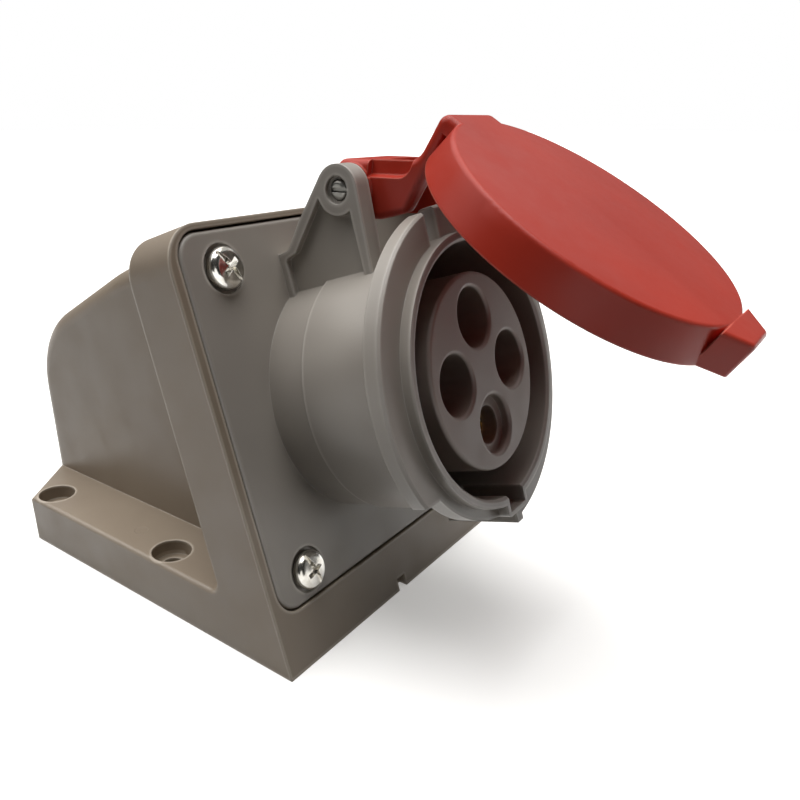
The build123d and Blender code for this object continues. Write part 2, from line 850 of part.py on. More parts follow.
def arm_corners():
    """Side view of the closed lid's arm as (u, n, radius) corners."""
    heel_u = hinge_u + arm_heel
    return [
        (arm_floor_u, lid_top - 3, 0),
        (arm_floor_u, 21.2, 2.0),
        (hinge_u - 8.0, hinge_n - 1.4, 2.0),
        (hinge_u - 3.0, hinge_n - arm_eye_r, 1.0),
        (hinge_u + 2.5, hinge_n - arm_eye_r, 2.5),
        (heel_u, arm_plane(heel_u, arm_top), 2.0),
        (arm_back_u, arm_plane(arm_back_u, arm_top), arm_bend_r),
        (arm_back_u, lid_top, 2.0),
        (arm_floor_u - 4, lid_top, 0),
        (arm_floor_u - 4, lid_top - 3, 0),
    ]


def arm_hollow_corners():
    """The room between the arm's two walls, under its roof."""
    roof = arm_top - arm_roof
    back = ring_r + block_gap
    return [
        (arm_floor_u - 5, lid_seat, 0),
        (arm_floor_u - 5, 12.0, 0),
        (hinge_u + 12.0, 12.0, 0),
        (hinge_u + 12.0, arm_plane(hinge_u + 12.0, roof), 0),
        (back, arm_plane(back, roof), 0),
        (back, lid_seat, 0),
    ]


def arm_dish():
    """The scoop in the arm's top."""
    length = dish_end - dish_start
    scoop = block(
        -dish_half, dish_half, -length / 2, length / 2, -dish_depth, 2 * dish_depth
    )
    scoop = fillet(scoop.edges().filter_by(Axis.Z), 2.2)
    scoop = fillet(scoop.faces().sort_by(Axis.Z)[0].edges(), 0.9)
    middle = (dish_start + dish_end) / 2
    tilt = face_tilt - lid_open
    placed = Rot(-tilt, 0, 0) * (Pos(0, -middle, arm_top) * scoop)
    return Pos(0, hinge_u, hinge_n) * placed


def lid_arm():
    """The arm from the lid's rim to the hinge: two walls under a roof."""
    body = hinge_slab(arm_corners(), -arm_outer, arm_outer)
    edges = [
        edge
        for edge in body.edges()
        if abs(abs(edge.center().X) - arm_outer) < 0.01
        and edge.center().Y > arm_back_u - 0.2
        and edge.center().Z > arm_plane(edge.center().Y, arm_top) - 1.5
    ]
    body = fillet(edges, arm_edge_r)
    body += cross_rod(arm_eye_r, -arm_eye_half, arm_eye_half)
    inner = arm_outer - arm_wall
    body -= hinge_slab(arm_hollow_corners(), -inner, inner)
    return body - arm_dish()


def lid_tab():
    """The thumb tab on the lid's rim, across from the hinge."""
    root = -sqrt(lid_rim_r**2 - lid_tab_root**2) + 0.4
    outline = rounded_polygon(
        [
            (-lid_tab_root, root, 0),
            (-lid_tab_half, -lid_tab_reach, lid_tab_r),
            (lid_tab_half, -lid_tab_reach, lid_tab_r),
            (lid_tab_root, root, 0),
        ]
    )
    tab = Pos(0, 0, lid_seat) * extrude(outline, amount=lid_height)
    rim = tab.faces().sort_by(Axis.Z)[-1].edges()
    return fillet([edge for edge in rim if edge.center().Y < root - 0.1], lid_edge_r)


def lid_closed():
    """The lid in its closed place."""
    drum = Pos(0, 0, (lid_seat + lid_top) / 2) * Cone(lid_rim_r, lid_top_r, lid_height)
    drum = fillet(drum.faces().sort_by(Axis.Z)[-1].edges(), lid_edge_r)
    body = drum + lid_tab() + lid_arm()
    body -= rod(lid_bore_r, lid_seat - 1, lid_ceiling)
    half = key_width / 2 + key_wall + lid_tab_gap
    reach = key_reach + lid_tab_gap
    body -= block(-half, half, -reach, 0, lid_seat - 1, mouth_front + lid_tab_gap)
    body -= cross_rod(pin_r + pin_running_gap, -arm_eye_half - 1, arm_eye_half + 1)
    return body


def lid_gasket_closed():
    """The sealing ring under the lid's roof, over the mouth's rim."""
    low = lid_ceiling - lid_gasket_thickness
    return ring(lid_gasket_r, lid_gasket_r - lid_gasket_width, low, lid_ceiling)


def opened(shape):
    """Turn a closed lid piece about the hinge to where the lid stands."""
    return seated(shape.rotate(hinge_line, -lid_open))


def hinge_pin():
    """The slotted pin through both ears and the lid's arm."""
    end = ear_outer - pin_end_gap
    body = cross_rod(pin_r, -end, end)
    half = pin_slot_width / 2
    slot = Rot(-70, 0, 0) * block(-pin_slot_depth, pin_slot_depth, -9, 9, -half, half)
    body -= Pos(-end, hinge_u, hinge_n) * slot
    return seated(body)


def entry_grommet():
    """The rubber grommet in the rear wall, with its cable bore."""
    neck = entry_hole_r - grommet_neck_gap
    inner = dome_reach - box_wall
    pieces = [
        (grommet_lip_r, dome_reach, dome_reach + grommet_lip),
        (neck, inner, dome_reach),
        (grommet_inner_lip_r, inner - grommet_lip, inner),
        (grommet_nose_r, dome_reach, dome_reach + grommet_lip + grommet_nose),
    ]
    body = None
    for radius, low, high in pieces:
        disc = rod(radius, low, high)
        body = disc if body is None else body + disc
    body -= rod(grommet_bore_r, inner - 9, dome_reach + 20)
    return Pos(0, 0, entry_z) * (Rot(-90, 0, 0) * body)


def main():
    """Build every piece and write one STEP file per node."""
    os.makedirs("parts", exist_ok=True)
    names = list(contact_places)
    nodes = {
        "wall_box": wall_box(),
        "cover_gasket": cover_gasket(),
        "box_inserts": Compound(box_inserts()),
        "socket_housing": socket_housing(),
        "cover_screws": Compound([cover_screw(x, u) for x, u in cover_screw_places]),
        "cover_screw_seals": Compound(
            [cover_screw_seal(x, u) for x, u in cover_screw_places]
        ),
        "contact_carrier": contact_carrier(),
        "carrier_seal": carrier_seal(),
        "terminal_block": terminal_block(),
        "contact_ring_springs": Compound([contact_ring_spring(n) for n in names]),
        "terminal_screws": Compound([terminal_screw(n) for n in names]),
        "carrier_screws": Compound(carrier_screws()),
        "block_screws": Compound(block_screws()),
        "lid": opened(lid_closed()),
        "lid_gasket": opened(lid_gasket_closed()),
        "hinge_pin": hinge_pin(),
        "entry_grommet": entry_grommet(),
    }
    for name in names:
        nodes[name] = contact_sleeve(name)
    for name, shape in nodes.items():
        export_step(shape, "parts/" + name + ".step")


main()
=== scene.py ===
"""Looks of a surface-mounted socket outlet with a sloping front and a red hinged lid.

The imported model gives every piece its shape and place. This script gives each piece
its finish, models the small turned and threaded pieces more finely than their solids,
and sets up the floor, the lights and the camera. Lengths inside the classes are in
millimetres, and meshes are baked to metres when they are put in place.
"""
from __future__ import annotations

import json
import logging
import math
from collections.abc import Callable
from dataclasses import dataclass, field
from enum import Enum

import bmesh
import bpy
import numpy as np
from mathutils import Matrix, Vector

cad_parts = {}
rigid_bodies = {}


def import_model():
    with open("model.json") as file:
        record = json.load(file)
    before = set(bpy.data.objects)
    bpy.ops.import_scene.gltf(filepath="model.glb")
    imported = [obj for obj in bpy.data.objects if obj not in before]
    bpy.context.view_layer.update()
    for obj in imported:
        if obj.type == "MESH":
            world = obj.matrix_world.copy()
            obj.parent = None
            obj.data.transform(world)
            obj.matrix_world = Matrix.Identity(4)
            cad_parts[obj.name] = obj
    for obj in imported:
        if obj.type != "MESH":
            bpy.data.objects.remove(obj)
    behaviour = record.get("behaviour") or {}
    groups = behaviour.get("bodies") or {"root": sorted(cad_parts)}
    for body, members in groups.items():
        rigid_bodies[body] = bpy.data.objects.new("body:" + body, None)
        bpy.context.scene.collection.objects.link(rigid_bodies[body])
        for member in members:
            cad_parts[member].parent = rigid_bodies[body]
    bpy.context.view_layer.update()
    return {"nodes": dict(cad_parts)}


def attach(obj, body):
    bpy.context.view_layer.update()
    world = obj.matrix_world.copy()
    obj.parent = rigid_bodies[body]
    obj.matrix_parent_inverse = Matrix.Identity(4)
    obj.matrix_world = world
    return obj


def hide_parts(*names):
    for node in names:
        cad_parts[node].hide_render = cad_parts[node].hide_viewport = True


LOG = logging.getLogger("socket_outlet")
MM = 0.001
WELD = 1e-6             # m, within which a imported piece's loose corners are one
DOUBLES = 0.002         # mm, within which a modelled piece's corners are one
SMOOTH_BELOW = 40.0     # degrees, between faces of a modelled piece that shade as one


class Body(Enum):
    """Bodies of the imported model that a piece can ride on."""

    BOX = "box"
    LID = "lid"


class Drive(Enum):
    """Shape of the recess that turns a screw."""

    CROSS = "cross"
    SLOT = "slot"
    COMBINED = "combined"


# ---- shader helpers ------------------------------------------------------------------


def linear(colour: str) -> tuple[float, float, float, float]:
    """Turns an sRGB hex colour into the linear values of a shader socket.

    Args:
        colour: six hex digits after a hash sign.

    Returns:
        Red, green, blue and alpha.
    """
    parts = [int(colour[i:i + 2], 16) / 255 for i in (1, 3, 5)]
    bent = [c / 12.92 if c <= 0.04045 else ((c + 0.055) / 1.055) ** 2.4 for c in parts]
    return (*bent, 1.0)


def add_node(
    tree: bpy.types.NodeTree,
    kind: str,
    settings: dict | None = None,
    links: dict | None = None,
) -> bpy.types.Node:
    """Adds one shader node, with its settings and its incoming links.

    Args:
        tree: node tree of a material or of the world.
        kind: Blender's name for the node type.
        settings: values by the name of an attribute, or by the name or number of a socket.
        links: outputs by the name or number of the input that they feed.

    Returns:
        The new node.
    """
    node = tree.nodes.new(kind)
    for key, value in (settings or {}).items():
        if isinstance(key, str) and hasattr(node, key):
            setattr(node, key, value)
        else:
            node.inputs[key].default_value = value
    for key, output in (links or {}).items():
        tree.links.new(output, node.inputs[key])
    return node


def new_material(name: str) -> tuple[bpy.types.Material, bpy.types.NodeTree]:
    """Makes an empty node material.

    Args:
        name: name of the material.

    Returns:
        The material and its node tree.
    """
    material = bpy.data.materials.new(name)
    material.use_nodes = True
    material.node_tree.nodes.clear()
    return material, material.node_tree


def per_metre(size_mm: float) -> float:
    """Scale of a texture whose features are that many millimetres across."""
    return 1 / (size_mm * MM)


# ---- finishes ------------------------------------------------------------------------


# Where the painted highlight on the outer edges begins and where it is full.
CORNER_STARTS, CORNER_FULL = 0.995, 0.78    # cosine between rounded and true normal
RIDGE_STARTS, RIDGE_FULL = 0.97, 0.78       # openness of the solid just under its skin


@dataclass(frozen=True)
class MouldedPlastic:
    """Opaque thermoplastic from a spark-eroded tool.

    The fine pebble of the tool breaks up the gloss, corners are softened and made paler
    than the faces by a painted highlight, and the melt's flow leaves slow, faint cloudiness.
    """

    name: str
    colour: str
    cloud_colour: str
    # painted highlight: the paler colour of the outer edges, standing in for the light that they
    # catch
    edge_highlight_colour: str
    roughness: float = 0.42
    corner_r: float = 0.35          # mm, of the moulding's softened edges
    cloud_size: float = 26.0        # mm
    grain_size: float = 0.55        # mm, drawn coarser than the real 0.1 so that it shows
    grain_depth: float = 0.012      # mm
    smudge_size: float = 9.0        # mm, of the handling marks in the gloss
    smudge: float = 0.07
    ior: float = 1.53
    specular: float = 0.5
    edge_highlight_strength: float = 0.8        # how far the softened edges take the painted highlight colour
    edge_reach: float = 0.72        # mm, of the band of painted highlight beside an outer edge
    pin_marks: tuple[tuple[float, float], ...] = ()     # mm, x and y of the ejector pins
    pin_mark_r: float = 1.7         # mm
    pin_mark_rim: float = 0.15      # mm, over which a mark's wall falls
    pin_mark_depth: float = 0.05    # mm

    def pin_mark_height(
        self, tree: bpy.types.NodeTree, place: bpy.types.NodeSocket
    ) -> bpy.types.NodeSocket:
        """Sinks a shallow round mark where each ejector pin pushed the moulding out.

        Args:
            tree: the material's node tree.
            place: object coordinates.

        Returns:
            A height that is 0 in the marks and 1 around them.
        """
        plan = add_node(
            tree, "ShaderNodeVectorMath", {"operation": "MULTIPLY", 1: (1, 1, 0)}, {0: place}
        )
        height = None
        for x, y in self.pin_marks:
            away = add_node(
                tree, "ShaderNodeVectorMath", {"operation": "DISTANCE", 1: (x * MM, y * MM, 0)},
                {0: plan.outputs["Vector"]},
            )
            step = add_node(
                tree, "ShaderNodeMapRange",
                {"From Min": (self.pin_mark_r - self.pin_mark_rim) * MM,
                 "From Max": self.pin_mark_r * MM},
                {"Value": away.outputs["Value"]},
            ).outputs["Result"]
            if height is None:
                height = step
            else:
                height = add_node(
                    tree, "ShaderNodeMath", {"operation": "MULTIPLY"}, {0: height, 1: step}
                ).outputs["Value"]
        return height

    def build(self) -> bpy.types.Material:
        """Makes the material.

        Returns:
            The material.
        """
        material, tree = new_material(self.name)
        place = add_node(tree, "ShaderNodeTexCoord").outputs["Object"]
        clouds = add_node(
            tree, "ShaderNodeTexNoise",
            {"Scale": per_metre(self.cloud_size), "Detail": 2.0, "Roughness": 0.5},
            {"Vector": place},
        )
        cloudy = add_node(
            tree, "ShaderNodeMapRange", {"From Min": 0.35, "From Max": 0.65},
            {"Value": clouds.outputs["Fac"]},
        )
        face = add_node(
            tree, "ShaderNodeMix",
            {"data_type": "RGBA", 6: linear(self.colour), 7: linear(self.cloud_colour)},
            {0: cloudy.outputs["Result"]},
        )
        rounded = add_node(
            tree, "ShaderNodeBevel", {"samples": 6, "Radius": self.corner_r * MM}
        )
        true_normal = add_node(tree, "ShaderNodeNewGeometry").outputs["Normal"]
        facing = add_node(
            tree, "ShaderNodeVectorMath", {"operation": "DOT_PRODUCT"},
            {0: rounded.outputs["Normal"], 1: true_normal},
        )
        # painted highlight at the corners, where the rounded normal turns away from the true one
        corner = add_node(
            tree, "ShaderNodeMapRange",
            {"From Min": CORNER_STARTS, "From Max": CORNER_FULL,
             "To Min": 0.0, "To Max": self.edge_highlight_strength},
            {"Value": facing.outputs["Value"]},
        )
        # painted highlight in a thin band beside outer edges, where little solid lies under the
        # surface
        skin = add_node(
            tree, "ShaderNodeAmbientOcclusion",
            {"samples": 6, "inside": True, "only_local": True, "Distance": self.edge_reach * MM},
        )
        ridge = add_node(
            tree, "ShaderNodeMapRange",
            {"From Min": RIDGE_STARTS, "From Max": RIDGE_FULL,
             "To Min": 0.0, "To Max": self.edge_highlight_strength},
            {"Value": skin.outputs["AO"]},
        )
        # the stronger of the two painted highlight masks
        highlight_mask = add_node(
            tree, "ShaderNodeMath", {"operation": "MAXIMUM"},
            {0: corner.outputs["Result"], 1: ridge.outputs["Result"]},
        )
        # face colour turned towards the painted highlight colour at the outer edges
        body = add_node(
            tree, "ShaderNodeMix",
            {"data_type": "RGBA", 7: linear(self.edge_highlight_colour)},
            {0: highlight_mask.outputs["Value"], 6: face.outputs[2]},
        )
        smudges = add_node(
            tree, "ShaderNodeTexNoise",
            {"Scale": per_metre(self.smudge_size), "Detail": 4.0, "Roughness": 0.6},
            {"Vector": place},
        )
        gloss = add_node(
            tree, "ShaderNodeMapRange",
            {"From Min": 0.3, "From Max": 0.7,
             "To Min": self.roughness - self.smudge, "To Max": self.roughness + self.smudge},
            {"Value": smudges.outputs["Fac"]},
        )
        grain = add_node(
            tree, "ShaderNodeTexNoise",
            {"Scale": per_metre(self.grain_size), "Detail": 3.0, "Roughness": 0.55},
            {"Vector": place},
        )
        pebble = add_node(
            tree, "ShaderNodeBump", {"Strength": 0.8, "Distance": self.grain_depth * MM},
            {"Height": grain.outputs["Fac"], "Normal": rounded.outputs["Normal"]},
        )
        if self.pin_marks:
            pebble = add_node(
                tree, "ShaderNodeBump", {"Distance": self.pin_mark_depth * MM},
                {"Height": self.pin_mark_height(tree, place), "Normal": pebble.outputs["Normal"]},
            )
        shader = add_node(
            tree, "ShaderNodeBsdfPrincipled",
            {"IOR": self.ior, "Specular IOR Level": self.specular},
            {"Base Color": body.outputs[2], "Roughness": gloss.outputs["Result"],
             "Normal": pebble.outputs["Normal"]},
        )
        add_node(tree, "ShaderNodeOutputMaterial", links={"Surface": shader.outputs["BSDF"]})
        return material


@dataclass(frozen=True)
class WorkedMetal:
    """Metal that was turned, drawn or plated.

    Tool lines and fine scratches stretch the highlights, and handling dulls the gloss
    in patches.
    """

    name: str
    colour: str
    dull_colour: str
    roughness: float
    scratch_size: float = 0.35      # mm
    scratch_depth: float = 0.004    # mm
    patch_size: float = 3.0         # mm
    corner_r: float = 0.12          # mm

    def build(self) -> bpy.types.Material:
        """Makes the material.

        Returns:
            The material.
        """
        material, tree = new_material(self.name)
        place = add_node(tree, "ShaderNodeTexCoord").outputs["Object"]
        patches = add_node(
            tree, "ShaderNodeTexNoise",
            {"Scale": per_metre(self.patch_size), "Detail": 4.0, "Roughness": 0.65},
            {"Vector": place},
        )
        dulled = add_node(
            tree, "ShaderNodeMapRange", {"From Min": 0.38, "From Max": 0.7},
            {"Value": patches.outputs["Fac"]},
        )
        colour = add_node(
            tree, "ShaderNodeMix",
            {"data_type": "RGBA", 6: linear(self.colour), 7: linear(self.dull_colour)},
            {0: dulled.outputs["Result"]},
        )
        gloss = add_node(
            tree, "ShaderNodeMapRange",
            {"From Min": 0.3, "From Max": 0.75,
             "To Min": self.roughness * 0.75, "To Max": self.roughness * 1.5},
            {"Value": patches.outputs["Fac"]},
        )
        lines = add_node(
            tree, "ShaderNodeTexNoise",
            {"Scale": per_metre(self.scratch_size), "Detail": 2.0, "Roughness": 0.5},
            {"Vector": place},
        )
        rounded = add_node(
            tree, "ShaderNodeBevel", {"samples": 6, "Radius": self.corner_r * MM}
        )
        scratched = add_node(
            tree, "ShaderNodeBump", {"Strength": 0.6, "Distance": self.scratch_depth * MM},
            {"Height": lines.outputs["Fac"], "Normal": rounded.outputs["Normal"]},
        )
        shader = add_node(
            tree, "ShaderNodeBsdfPrincipled", {"Metallic": 1.0},
            {"Base Color": colour.outputs[2], "Roughness": gloss.outputs["Result"],
             "Normal": scratched.outputs["Normal"]},
        )
        add_node(tree, "ShaderNodeOutputMaterial", links={"Surface": shader.outputs["BSDF"]})
        return material


# The fourth colour of each plastic is its painted highlight for the outer edges.
BOX_PLASTIC = MouldedPlastic(
    "warm_grey_polyamide", "#8F8170", "#877969", "#BCB0A0", corner_r=0.5,
    pin_marks=((-34.0, -10.0), (34.0, -10.0)),
)
HOUSING_PLASTIC = MouldedPlastic(
    "light_grey_polyamide", "#A19A91", "#99928A", "#BDB7AF", roughness=0.38
)
LID_PLASTIC = MouldedPlastic(
    "signal_red_polyamide", "#B33524", "#AB3020", "#D4614F", roughness=0.36, corner_r=0.45,
    specular=0.22, edge_reach=0.25,
)
CARRIER_PLASTIC = MouldedPlastic(
    "contact_carrier_polyamide", "#A1948B", "#998C83", "#B5AAA2", roughness=0.45
)
BLOCK_PLASTIC = MouldedPlastic(
    "black_glass_filled_polyamide", "#2B2A29", "#252423", "#3D3B39", roughness=0.5
)
SEAL_RUBBER = MouldedPlastic(
    "black_seal_rubber", "#1D1C1B", "#222120", "#2E2D2B", roughness=0.72, grain_depth=0.02
)
GROMMET_RUBBER = MouldedPlastic(
    "dark_grey_grommet_rubber", "#343332", "#3A3938", "#4A4846", roughness=0.65
)
BRIGHT_ZINC = WorkedMetal("bright_zinc_plate", "#DDDBD6", "#B9B4A8", roughness=0.17)
DULL_STEEL = WorkedMetal("dull_blued_steel", "#8C8A85", "#6A6864", roughness=0.36)
TURNED_BRASS = WorkedMetal("turned_brass", "#D2AC62", "#A98746", roughness=0.24)
SPRING_STEEL = WorkedMetal("drawn_spring_steel", "#A5A5A5", "#83827F", roughness=0.3)


def paint(node: bpy.types.Object, material: bpy.types.Material) -> None:
    """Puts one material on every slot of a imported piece."""
    for slot in node.material_slots:
        slot.material = material


# ---- modelling helpers ---------------------------------------------------------------


def clear_selection() -> None:
    """Leaves nothing selected, so that the next operator touches the new piece only."""
    for other in bpy.context.view_layer.objects:
        other.select_set(False)


def select_only(piece: bpy.types.Object) -> None:
    """Makes one object the active and the only selected one.

    Args:
        piece: the object.
    """
    clear_selection()
    bpy.context.view_layer.objects.active = piece
    piece.select_set(True)


def start_piece(name: str) -> bpy.types.Object:
    """Names the primitive that was just added.

    Args:
        name: name of the object and of its mesh.

    Returns:
        The object.
    """
    piece = bpy.context.active_object
    piece.name = name
    piece.data.name = name
    return piece


def pick(piece: bpy.types.Object, mode: str, wanted: Callable[..., bool]) -> None:
    """Selects parts of a piece in edit mode by their own centre and normal.

    Args:
        piece: mesh object that is in edit mode.
        mode: EDGE or FACE.
        wanted: test that both corners of an edge pass by their place, or a face by its
            centre and normal.
    """
    bpy.ops.mesh.select_mode(type=mode)
    bpy.ops.mesh.select_all(action="DESELECT")
    shape = bmesh.from_edit_mesh(piece.data)
    if mode == "FACE":
        for face in shape.faces:
            face.select_set(wanted(face.calc_center_median(), face.normal))
    else:
        for edge in shape.edges:
            edge.select_set(all(wanted(corner.co) for corner in edge.verts))
    shape.select_flush_mode()
    bmesh.update_edit_mesh(piece.data)


def boolean(piece: bpy.types.Object, tool: bpy.types.Object, operation: str) -> None:
    """Joins a tool to a piece, or cuts it from it, and takes the tool away.

    Args:
        piece: mesh object to change.
        tool: mesh object to join or cut.
        operation: UNION or DIFFERENCE.
    """
    select_only(piece)
    modifier = piece.modifiers.new("shape", "BOOLEAN")
    modifier.object = tool
    modifier.operation = operation
    modifier.solver = "EXACT"
    bpy.ops.object.modifier_apply(modifier=modifier.name)
    bpy.data.objects.remove(tool)


def finish_mesh(piece: bpy.types.Object) -> None:
    """Merges doubles, turns faces outwards and smooths all but the sharp edges.

    Args:
        piece: mesh object, still in millimetres.
    """
    select_only(piece)
    bpy.ops.object.mode_set(mode="EDIT")
    bpy.ops.mesh.select_all(action="SELECT")
    bpy.ops.mesh.remove_doubles(threshold=DOUBLES)
    bpy.ops.mesh.normals_make_consistent(inside=False)
    bpy.ops.object.mode_set(mode="OBJECT")
    bpy.ops.object.shade_smooth_by_angle(angle=math.radians(SMOOTH_BELOW))


@dataclass(frozen=True)
class Seat:
    """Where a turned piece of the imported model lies, in metres."""

    tip: Vector
    axis: Vector
    length: float
    radius: float

    def matrix(self) -> Matrix:
        """Takes a piece drawn in millimetres from its tip up +Z to its place."""
        turn = self.axis.to_track_quat("Z", "X").to_matrix().to_4x4()
        return Matrix.Translation(self.tip) @ turn @ Matrix.Scale(MM, 4)


def solids_of(node: bpy.types.Object) -> list[np.ndarray]:
    """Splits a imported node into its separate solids.

    Args:
        node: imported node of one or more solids.

    Returns:
        The points of each solid, from left to right and bottom to top.
    """
    shape = bmesh.new()
    shape.from_mesh(node.data)
    bmesh.ops.remove_doubles(shape, verts=shape.verts, dist=WELD)
    left = set(shape.verts)
    found = []
    while left:
        reached = {left.pop()}
        front = list(reached)
        while front:
            corner = front.pop()
            for edge in corner.link_edges:
                other = edge.other_vert(corner)
                if other not in reached:
                    reached.add(other)
                    front.append(other)
        left -= reached
        found.append(np.array([corner.co[:] for corner in reached]))
    shape.free()
    return sorted(found, key=lambda points: tuple(points.mean(axis=0).round(4)))


def seat_of(points: np.ndarray, axis: Vector) -> Seat:
    """Finds the axis line, length and radius of a turned solid.

    Args:
        points: the solid's points.
        axis: direction from its tip to its head.

    Returns:
        The solid's seat.
    """
    along = axis.normalized()
    side = along.orthogonal().normalized()
    other = along.cross(side)
    spans = [points @ np.array(direction) for direction in (along, side, other)]
    low = [float(span.min()) for span in spans]
    high = [float(span.max()) for span in spans]
    middle = [(a + b) / 2 for a, b in zip(low, high)]
    tip = along * low[0] + side * middle[1] + other * middle[2]
    return Seat(tip, along, high[0] - low[0], (high[1] - low[1]) / 2)


# ---- threaded and turned pieces ------------------------------------------------------


@dataclass(frozen=True)
class Punch:
    """A tapered wing that cuts one arm of a driver recess, in millimetres."""

    reach: float
    width: float
    depth: float
    turned: float = 0.0         # degrees
    floor_reach: float = 1.0    # length of its floor as a part of its length at the surface
    floor_width: float = 0.8

    def build(self, top: float) -> bpy.types.Object:
        """Models the wing as a tool that stands over a surface and reaches into it.

        Args:
            top: height of the surface.

        Returns:
            The tool.
        """
        clear_selection()
        bpy.ops.mesh.primitive_cube_add(size=1, location=(0, 0, 0.5))
        tool = start_piece("punch")
        tool.scale = (2 * self.reach, self.width, 1)
        bpy.ops.object.transform_apply(location=True, rotation=False, scale=True)
        bpy.ops.object.mode_set(mode="EDIT")
        pick(tool, "FACE", lambda centre, normal: normal.z < -0.9)
        bpy.ops.mesh.extrude_region_move(TRANSFORM_OT_translate={"value": (0, 0, -self.depth)})
        bpy.ops.transform.resize(value=(self.floor_reach, self.floor_width, 1))
        bpy.ops.object.mode_set(mode="OBJECT")
        turn = Matrix.Rotation(math.radians(self.turned), 4, "Z")
        tool.data.transform(Matrix.Translation((0, 0, top)) @ turn)
        return tool


CHAMFER = 0.12                  # mm, under a screw's head
CROWN_RINGS = ((0.3, 0.5), (0.3, 0.35), (0.25, 0.15))   # width and rise, as parts of both
FLAT_CENTRE_R = 0.1             # mm, within which a face lies on the axis
THREAD_DEPTH = 0.55             # as a part of the pitch
THREAD_HALF = 0.42              # half of the ridge's foot, as a part of the pitch
THREAD_SINK = 0.12              # mm, of the ridge's foot in the core
THREAD_STEPS = 28               # to a turn
BLUNT_TAPER, SHARP_TAPER = 0.72, 0.12   # of the tip, for short and long points
LONG_POINT = 1.0                # mm, from which a point is sharp


